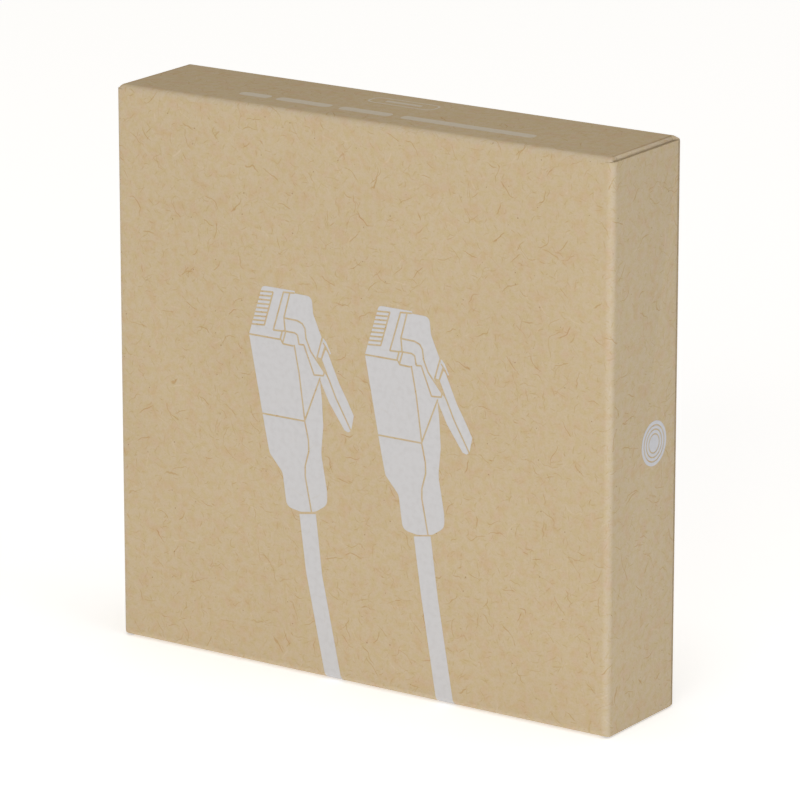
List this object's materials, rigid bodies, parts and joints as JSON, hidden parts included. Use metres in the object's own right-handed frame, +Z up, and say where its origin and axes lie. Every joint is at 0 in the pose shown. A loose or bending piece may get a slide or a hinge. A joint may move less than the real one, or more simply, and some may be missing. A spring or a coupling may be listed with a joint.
{
  "type": "tuck-end folding carton",
  "caption": "Upright shallow square carton of kraft paperboard, closed at both ends by hinged tuck lids over dust flaps, made to hold a coiled network cable.",
  "frame": {"origin": "centre of the footprint, on the surface the carton stands on", "axes": "+Z up, the printed front faces -Y, and +X is towards the right lid as seen from the front"},
  "size_m": [0.13, 0.0274, 0.128],
  "materials": {
    "kraft_board": "uncoated, matte, with loose recycled fibres"
  },
  "bodies": {
    "carton_tube": {"front_panel": "kraft_board", "top_panel": "kraft_board", "back_panel": "kraft_board", "bottom_panel": "kraft_board", "glue_flap": "kraft_board"},
    "right_lid": {"right_lid": "kraft_board"},
    "right_tuck_flap": {"right_tuck_flap": "kraft_board"},
    "right_dust_flap_top": {"right_dust_flap_top": "kraft_board"},
    "right_dust_flap_bottom": {"right_dust_flap_bottom": "kraft_board"},
    "left_lid": {"left_lid": "kraft_board"},
    "left_tuck_flap": {"left_tuck_flap": "kraft_board"},
    "left_dust_flap_top": {"left_dust_flap_top": "kraft_board"},
    "left_dust_flap_bottom": {"left_dust_flap_bottom": "kraft_board"}
  },
  "joints": [
    {"name": "right_lid_crease", "type": "hinge", "parent": "carton_tube", "child": "right_lid", "pos_m": [0.06453, -0.01328, 0.064], "axis": [0, 0, -1], "range_deg": [0, 175]},
    {"name": "right_tuck_crease", "type": "hinge", "parent": "right_lid", "child": "right_tuck_flap", "pos_m": [0.06469, 0.01275, 0.064], "axis": [0, 0, -1], "range_deg": [0, 43.75]},
    {"name": "right_dust_crease_top", "type": "hinge", "parent": "carton_tube", "child": "right_dust_flap_top", "pos_m": [0.06388, 0, 0.12768], "axis": [0, -1, 0], "range_deg": [0, 87.5]},
    {"name": "right_dust_crease_bottom", "type": "hinge", "parent": "carton_tube", "child": "right_dust_flap_bottom", "pos_m": [0.06388, 0, 0.00032], "axis": [0, 1, 0], "range_deg": [0, 87.5]},
    {"name": "left_lid_crease", "type": "hinge", "parent": "carton_tube", "child": "left_lid", "pos_m": [-0.06453, -0.01328, 0.064], "axis": [0, 0, 1], "range_deg": [0, 175]},
    {"name": "left_tuck_crease", "type": "hinge", "parent": "left_lid", "child": "left_tuck_flap", "pos_m": [-0.06469, 0.01275, 0.064], "axis": [0, 0, 1], "range_deg": [0, 43.75]},
    {"name": "left_dust_crease_top", "type": "hinge", "parent": "carton_tube", "child": "left_dust_flap_top", "pos_m": [-0.06388, 0, 0.12768], "axis": [0, 1, 0], "range_deg": [0, 87.5]},
    {"name": "left_dust_crease_bottom", "type": "hinge", "parent": "carton_tube", "child": "left_dust_flap_bottom", "pos_m": [-0.06388, 0, 0.00032], "axis": [0, -1, 0], "range_deg": [0, 87.5]}
  ],
  "couplings": [
    {"joint": "right_tuck_crease", "follows": "right_lid_crease", "ratio": 0.25},
    {"joint": "right_dust_crease_top", "follows": "right_lid_crease", "ratio": 0.5},
    {"joint": "right_dust_crease_bottom", "follows": "right_lid_crease", "ratio": 0.5},
    {"joint": "left_tuck_crease", "follows": "left_lid_crease", "ratio": 0.25},
    {"joint": "left_dust_crease_top", "follows": "left_lid_crease", "ratio": 0.5},
    {"joint": "left_dust_crease_bottom", "follows": "left_lid_crease", "ratio": 0.5}
  ]
}
